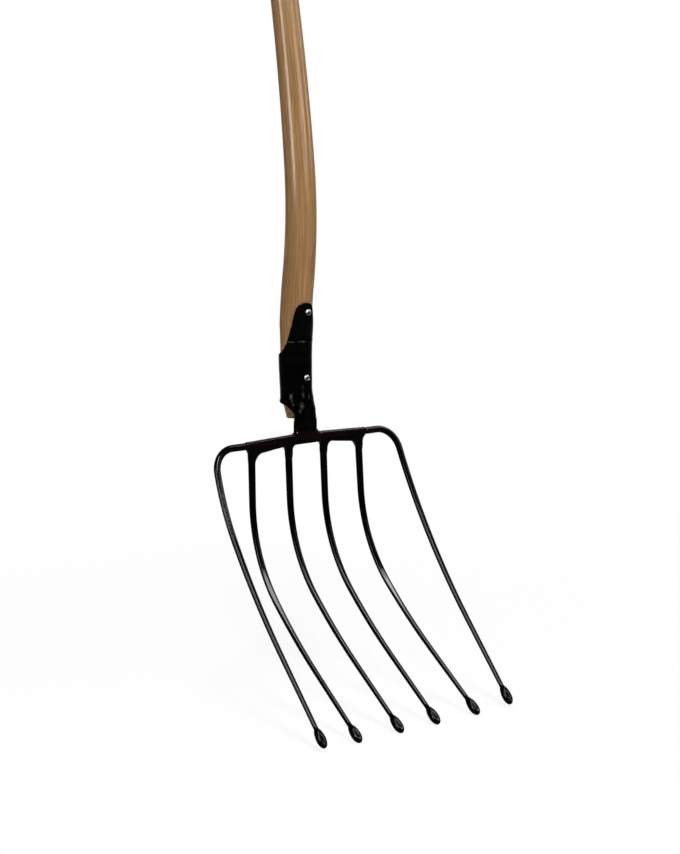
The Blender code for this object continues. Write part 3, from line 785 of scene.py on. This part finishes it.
def hammer_flat(blank):
    """Beats a flat on one upper side of a blank over its bend, where it spreads a little."""
    turned = Vector((-math.sin(FLAT_TURN), math.cos(FLAT_TURN), 0))
    across = Vector((turned.y, -turned.x, 0))
    for vertex in blank.data.vertices:
        share = math.exp(-(((vertex.co.z - FLAT_MIDDLE) / FLAT_REACH) ** 2))
        out, aside = vertex.co.dot(turned), vertex.co.dot(across)
        radius = math.hypot(vertex.co.x, vertex.co.y)
        if share > 0.01 and radius > 0:
            flat = min(out, radius * (1 - FLAT_DEPTH * share))
            moved = turned * flat + across * (aside * (1 + FLAT_SPREAD * share))
            vertex.co = Vector((moved.x, moved.y, vertex.co.z))


def tine_blank(length):
    """A straight tine along +Z, with its olive point dished on the +Y side."""
    rod = length - OLIVE_LENGTH
    steps = math.ceil(rod / ROD_STEP)
    stations = []
    for step in range(steps + 1):
        share = step / steps
        radius = ROOT_RADIUS + (ROD_RADIUS - ROOT_RADIUS) * (1 - (1 - share) ** TAPER_POWER)
        stations.append((rod * share, radius))
    for step in range(1, OLIVE_STEPS + 1):
        angle = tail_start + (NOSE_END - tail_start) * step / OLIVE_STEPS
        reach = OLIVE_TAIL if angle < math.pi / 2 else OLIVE_NOSE
        ended = rod + OLIVE_MIDDLE - reach * math.cos(angle)
        if ended < length - 0.0001:
            stations.append((ended, OLIVE_RADIUS * math.sin(angle)))
    stations.append((length, OLIVE_RADIUS * math.sin(TIP_ANGLE) * TIP_SHARE))
    blank = straight_bar("tine", stations, TINE_SIDES)
    middle = rod + OLIVE_MIDDLE
    for vertex in blank.data.vertices:
        across = vertex.co.x / DISH_WIDTH
        along = (vertex.co.z - middle) / DISH_LENGTH
        spread = math.hypot(across, along)
        if vertex.co.y > 0 and spread < 1:
            vertex.co.y -= DISH_DEPTH * ease(min(1, (1 - spread) / DISH_RIM))
    return blank


def tine_heading(side):
    """Turns a drop from sideways and a rake forward from straight down into a direction."""

    def heading(drop, rake):
        down = math.sin(drop)
        return Vector((side * math.cos(drop), -down * math.sin(rake), -down * math.cos(rake)))

    return heading


def set_tine(name, node, blank, side, start, stretches, length):
    """Bends a copy of a blank along its stretches and a straight end, and fixes it to the head."""
    last = stretches[-1][2]
    stretches = [*stretches, (length - sum(stretch[0] for stretch in stretches), last, last)]
    heading = tine_heading(side)
    line = walk(start, stretches, heading, turn_step=math.radians(1.5), length_step=0.02)
    tine = blank.copy()
    tine.data = blank.data.copy()
    tine.name = name
    bpy.context.scene.collection.objects.link(tine)
    bend(tine, line, (0, 0, 1))
    tine.data.materials.append(lacquer)
    smooth(tine, 50)
    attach(tine, "root")
    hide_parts(node)


inner_blank = tine_blank(INNER_LENGTH)
outer_blank = tine_blank(OUTER_LENGTH)
flat_blank = inner_blank.copy()
flat_blank.data = inner_blank.data.copy()
hammer_flat(flat_blank)
INNER_RAKES = [math.radians(angle) for angle in (3, 43.5, 52)]
for name, node, blank, side, x, splay in (
    ("tine_2", "tine_2_inner", flat_blank, -1, SIDE_X, 1.3),
    ("tine_3", "tine_3_inner", inner_blank, -1, INNER_X, 0.2),
    ("tine_4", "tine_4_inner", inner_blank, 1, INNER_X, 0.2),
    ("tine_5", "tine_5_inner", flat_blank, 1, SIDE_X, 1.3),
):
    drop = math.radians(90 - splay)
    shank, bent, point = INNER_RAKES
    bends = [
        (INNER_SHANK, (drop, shank), (drop, shank)),
        (INNER_BEND * (bent - shank), (drop, shank), (drop, bent)),
        (INNER_SWEEP * (point - bent), (drop, bent), (drop, point)),
    ]
    set_tine(name, node, blank, side, (side * x, 0, -STUB_LENGTH), bends, INNER_LENGTH)

OUTER_RAKES = [math.radians(angle) for angle in (20.3, 31, 40.6)]
SHOULDER_DROP, UPRIGHT = math.radians(85.7), math.radians(90)
for name, node, side in (("tine_1", "tine_1_outer_left", -1), ("tine_6", "tine_6_outer_right", 1)):
    arm, bent, point = OUTER_RAKES
    bends = [
        (OUTER_ARM, (0, arm), (0, arm)),
        (SHOULDER * SHOULDER_DROP, (0, arm), (SHOULDER_DROP, arm)),
        (OUTER_BEND * (bent - arm), (SHOULDER_DROP, arm), (UPRIGHT, bent)),
        (OUTER_SWEEP * (point - bent), (UPRIGHT, bent), (UPRIGHT, point)),
    ]
    set_tine(name, node, outer_blank, side, (side * BAR_END_X, 0, ARM_HEIGHT), bends, OUTER_LENGTH)
for spare in (inner_blank, outer_blank, flat_blank):
    bpy.data.objects.remove(spare)


# Screws
# Two zinc-plated pan-head wood screws with a cross recess, driven by hand through the tongue and
# the front of the socket into the ash.

HEAD_RADIUS, HEAD_HEIGHT, HEAD_RIM, DOME_POWER = 0.0037, 0.0028, 0.25, 2.5
HEAD_UNDER = 0.93
SHANK_RADIUS, SCREW_LENGTH, SCREW_POINT, SCREW_TIP, SCREW_SIDES = 0.0021, 0.0240, 0.0050, 0.0002, 48
THREADS, THREAD_PITCH, THREAD_TOP, FIRST_THREAD = 15, 0.0009, -0.0058, 0.35
# One turn of the thread: the place along the screw, and the radius as a share of the shank's.
THREAD_PROFILE = ((0, 0.62), (0.00035, 0.66), (0.00045, 1.0), (0.00055, 0.66))
RECESS_HALF, RECESS_SLOT, RECESS_MIDDLE, RECESS_DEPTH = 0.0027, 0.0015, 0.0034, 0.0017
RECESS_FLOOR = (0.55, 0.75)
RECESS_SHADE_START, RECESS_SHADE_DEPTH = 0.00012, 0.0003
SCREWS = (("upper_wood_screw", "screw_upper", 0.1449, 20), ("lower_wood_screw", "screw_lower", 0.0725, 55))


def zinc_plate():
    """Dulled zinc plate: a grey metal with fine bloom, and painted shade in the recess."""
    material, tree, shader = new_material("dull_zinc", Metallic=1.0, Roughness=0.3)
    place = add(tree, "TexCoord").outputs["Object"]
    bloom = speckle(tree, place, 700, 3, 0.6)
    dulled = ramp(tree, bloom, (0.35, 0.0), (0.70, 1.0))
    tone = mix(tree, dulled, (0.170, 0.178, 0.185), (0.120, 0.122, 0.130))
    # Painted shade: the recess is drawn near black where it sinks below the dome.
    painted_recess_shade = add(tree, "Attribute", attribute_name="painted_recess_shade").outputs["Fac"]
    tone = mix(tree, painted_recess_shade, tone, (0.012, 0.011, 0.010))
    tree.links.new(tone, shader.inputs["Base Color"])
    rough = add(tree, "MapRange", {"Value": bloom, "To Min": 0.25, "To Max": 0.40}).outputs[0]
    tree.links.new(rough, shader.inputs["Roughness"])
    bump = add(tree, "Bump", {"Height": bloom, "Strength": 0.2, "Distance": 0.0001}).outputs[0]
    tree.links.new(bump, shader.inputs["Normal"])
    return material


def cut_recess(screw, turn):
    """Presses the cross recess and its wide middle into the head."""
    low, high = HEAD_HEIGHT - RECESS_DEPTH, HEAD_HEIGHT + 0.001
    for number, (length, width) in enumerate(
        ((RECESS_HALF * 2, RECESS_SLOT), (RECESS_HALF * 2, RECESS_SLOT), (RECESS_MIDDLE, RECESS_MIDDLE))
    ):
        stick = {"location": (0, 0, (low + high) / 2), "scale": (length, width, high - low)}
        cutter = new_mesh(bpy.ops.mesh.primitive_cube_add, size=1, **stick)
        for vertex in cutter.data.vertices:
            if vertex.co.z < HEAD_HEIGHT - 0.0001:
                vertex.co.x *= RECESS_FLOOR[0]
                vertex.co.y *= RECESS_FLOOR[1]
        angle = math.radians(turn + (45 if number == 2 else 90 * number))
        cutter.data.transform(Matrix.Rotation(angle, 4, "Z"))
        modify(screw, "BOOLEAN", operation="DIFFERENCE", object=cutter, solver="EXACT")
        bpy.data.objects.remove(cutter)


def head_dome(out):
    """The head's height at a distance from its middle."""
    lift = math.sqrt(max(0, 1 - min(1, out / HEAD_RADIUS) ** DOME_POWER))
    return HEAD_HEIGHT * (HEAD_RIM + (1 - HEAD_RIM) * lift)


def make_screw(name, node, height, turn, material):
    """Turns a screw's shape from a bar, cuts the recess and sets it square to the socket's front."""
    stations = [(-SCREW_LENGTH, SCREW_TIP)]
    for step in range(THREADS):
        place = -SCREW_LENGTH + SCREW_POINT * 0.8 + step * THREAD_PITCH
        for shift, radius in THREAD_PROFILE:
            grown = min(1, FIRST_THREAD + (1 - FIRST_THREAD) * (place + SCREW_LENGTH) / SCREW_POINT)
            stations.append((place + shift, SHANK_RADIUS * radius * grown))
    stations += [(THREAD_TOP, SHANK_RADIUS * 0.98), (0.0, SHANK_RADIUS)]
    stations += [(0.0001, HEAD_RADIUS * HEAD_UNDER), (0.0004, HEAD_RADIUS)]
    for step in range(11):
        angle = math.radians(8 * step)
        rise = HEAD_HEIGHT * (HEAD_RIM + (1 - HEAD_RIM) * math.sin(angle))
        stations.append((rise, HEAD_RADIUS * math.cos(angle) ** (2 / DOME_POWER)))
    screw = straight_bar(name, stations, SCREW_SIDES)
    cut_recess(screw, turn)
    modify(screw, "BEVEL", width=0.00012, segments=2, limit_method="ANGLE", angle_limit=math.radians(50))
    # How far each point sinks below the dome, for the recess's painted shade.
    painted_recess_shade = screw.data.attributes.new("painted_recess_shade", "FLOAT", "POINT")
    for vertex in screw.data.vertices:
        out = math.hypot(vertex.co.x, vertex.co.y)
        sunk = head_dome(out) - vertex.co.z if vertex.co.z > 0.0006 else 0
        painted_recess_shade.data[vertex.index].value = min(1, max(0, (sunk - RECESS_SHADE_START) / RECESS_SHADE_DEPTH))
    levels = (height - LEVEL_STEP, height, height + LEVEL_STEP)
    fronts = [wood_back(level) - socket_radius(level) for level in levels]
    lean = math.pi / 2 - math.atan((fronts[2] - fronts[0]) / (2 * LEVEL_STEP))
    turned = Matrix.Rotation(lean, 4, "X")
    seat = Vector((0, fronts[1], height)) + turned.to_3x3() @ Vector((0, 0, FIT_GAP))
    screw.data.transform(Matrix.Translation(seat) @ turned)
    screw.data.materials.append(material)
    smooth(screw, 35)
    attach(screw, "root")
    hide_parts(node)


zinc = zinc_plate()
for name, node, height, turn in SCREWS:
    make_screw(name, node, height, turn, zinc)


# Picture
# A plain white floor under the points, soft studio lamps and the camera at the photograph's angle.
# The wood and the tines get their streaks of light from cards that only show in reflections.

CAMERA_PLACE = (-1.7133, -2.1000, 0.4478)
CAMERA_TURN = (80.99, 0.03, -40.0)
FOCAL_PIXELS, FRAME_HEIGHT, SENSOR = 2500, 854, 36.0
PAPER, PAPER_IN_REFLECTIONS = (0.86, 0.86, 0.86), (0.26, 0.26, 0.26)
FLOOR_RADIUS, FLOOR_GAP = 30, 0.0005
# From here to there the floor's own white takes over from the lit paper, which keeps the shadow.
GLOW_START, GLOW_END, GLOW_NEAR = 0.25, 1.25, 0.86

camera_data = bpy.data.cameras.new("camera")
camera_data.sensor_width = SENSOR
camera_data.lens = FOCAL_PIXELS / FRAME_HEIGHT * SENSOR
camera = bpy.data.objects.new("camera", camera_data)
camera.location = CAMERA_PLACE
camera.rotation_euler = [math.radians(angle) for angle in CAMERA_TURN]
bpy.context.scene.collection.objects.link(camera)
bpy.context.scene.camera = camera


def seen(tree, direction):
    """1 for rays from the camera, and for reflected and refracted ones that go to the backdrop.

    The backdrop stands straight behind the fork, and the room on the camera's side is dim."""
    path = add(tree, "LightPath").outputs
    bounced = calculate(tree, "MAXIMUM", path["Is Glossy Ray"], path["Is Transmission Ray"])
    away = add(tree, "VectorMath", {0: direction}, operation="NORMALIZE").outputs[0]
    toward = {0: away, 1: Vector(CAMERA_PLACE).normalized()}
    facing = add(tree, "VectorMath", toward, operation="DOT_PRODUCT").outputs["Value"]
    behind = add(tree, "MapRange", {"Value": facing, "From Min": -0.72, "From Max": -0.92}).outputs[0]
    return calculate(tree, "MAXIMUM", path["Is Camera Ray"], calculate(tree, "MULTIPLY", bounced, behind))


def make_floor():
    """A wide disc: white paper that keeps the shadow near the fork and runs out to plain white.

    Away from the backdrop it is darker in reflections, so that the black lacquer stays deep."""
    disc = {"vertices": 64, "radius": FLOOR_RADIUS, "fill_type": "NGON"}
    level = cad_box[0].z - FLOOR_GAP
    floor = new_mesh(bpy.ops.mesh.primitive_circle_add, location=(0, 0, level), **disc)
    floor.name = "floor"
    material, tree, shader = new_material("white_paper", Roughness=0.9)
    glossy = add(tree, "LightPath").outputs["Is Glossy Ray"]
    paper = mix(tree, glossy, PAPER, PAPER_IN_REFLECTIONS)
    tree.links.new(paper, shader.inputs["Base Color"])
    shader.inputs["Specular IOR Level"].default_value = 0.1
    glow = add(tree, "Emission", {"Color": (1, 1, 1, 1), "Strength": 1.0})
    place = add(tree, "TexCoord").outputs["Object"]
    reach = add(tree, "VectorMath", {0: place}, operation="LENGTH").outputs["Value"]
    plain = add(
        tree,
        "MapRange",
        {"Value": reach, "From Min": GLOW_START, "From Max": GLOW_END, "To Min": GLOW_NEAR},
        interpolation_type="SMOOTHSTEP",
    ).outputs[0]
    share = calculate(tree, "MULTIPLY", plain, seen(tree, place))
    blend = add(tree, "MixShader", {0: share, 1: shader.outputs[0], 2: glow.outputs[0]})
    tree.links.new(blend.outputs[0], tree.nodes["Material Output"].inputs["Surface"])
    floor.data.materials.append(material)


make_floor()


def lamp(name, place, target, size, power, kind="box", colour=(1, 1, 1), spared=()):
    """A rectangular soft box that looks at a target.

    A card only shows in polished surfaces, and a fill only lights dull ones. Spared pieces get
    nothing from the lamp, as if a flag stood between them."""
    data = bpy.data.lights.new(name, "AREA")
    data.shape = "RECTANGLE"
    data.size, data.size_y = size
    data.energy = power
    data.color = colour
    made = bpy.data.objects.new(name, data)
    made.location = place
    made.rotation_euler = (Vector(target) - Vector(place)).to_track_quat("-Z", "Y").to_euler()
    made.visible_diffuse = kind != "card"
    made.visible_glossy = kind != "fill"
    bpy.context.scene.collection.objects.link(made)
    if spared:
        flag = bpy.data.collections.new(name + "_flag")
        for piece in spared:
            flag.objects.link(piece)
        for member in flag.collection_objects:
            member.light_linking.link_state = "EXCLUDE"
        made.light_linking.receiver_collection = flag


WARM = (1.0, 0.95, 0.88)
ROOM_LIGHT = 0.12
lacquered = [piece for piece in bpy.context.scene.objects if piece.active_material == lacquer]
lamp("key_box", (-0.93, -1.34, 2.6), (0, -0.1, 0), (0.5, 1.1), 86)
lamp("right_panel", (0.89, -2.44, 1.25), (0, 0, 0.3), (1.1, 1.3), 27, spared=(head, socket))
lamp("left_fill", (-2.56, -0.45, 0.9), (0, 0, 0.4), (1.0, 1.2), 7, "fill")
lamp("back_fill", (1.5, 2.0, 1.4), (0, 0, 0.4), (1.2, 1.2), 26, "fill")
lamp("tine_card", (-1.35, -1.28, 2.38), (0, -0.12, -0.15), (0.75, 2.1), 370, "card")
lamp("right_card", (1.93, -0.30, 2.05), (0, -0.2, -0.25), (1.6, 1.6), 85, "card")
lamp("left_card", (-2.56, -0.29, 0.75), (0, 0.02, 0.75), (0.85, 1.0), 80, "card", WARM, (socket,))
lamp("front_card", (0.50, -2.55, 1.05), (0, 0, 0.75), (1.3, 1.1), 38, "card", WARM, lacquered)
lamp("side_card", (2.38, -1.06, 0.95), (0, 0, 0.5), (1.2, 1.1), 28, "card", WARM)

world = bpy.data.worlds.new("studio")
world.use_nodes = True
bpy.context.scene.world = world
sky = world.node_tree
room = sky.nodes["Background"]
room.inputs["Color"].default_value = (1, 1, 1, 1)
room.inputs["Strength"].default_value = ROOM_LIGHT
white = add(sky, "Background", {"Color": (1, 1, 1, 1), "Strength": 1.0})
# The backdrop ends above the camera's view, and reflections show the dim room over it.
outward = add(sky, "TexCoord").outputs["Generated"]
aloft = add(sky, "SeparateXYZ", {"Vector": outward}).outputs["Z"]
sweep = add(sky, "MapRange", {"Value": aloft, "From Min": 0.58, "From Max": 0.34}).outputs[0]
direct = add(sky, "LightPath").outputs["Is Camera Ray"]
shown = calculate(sky, "MAXIMUM", calculate(sky, "MULTIPLY", sweep, seen(sky, outward)), direct)
either = add(sky, "MixShader", {0: shown, 1: room.outputs[0], 2: white.outputs[0]})
sky.links.new(either.outputs[0], sky.nodes["World Output"].inputs["Surface"])

bpy.context.scene.view_settings.view_transform = "Standard"
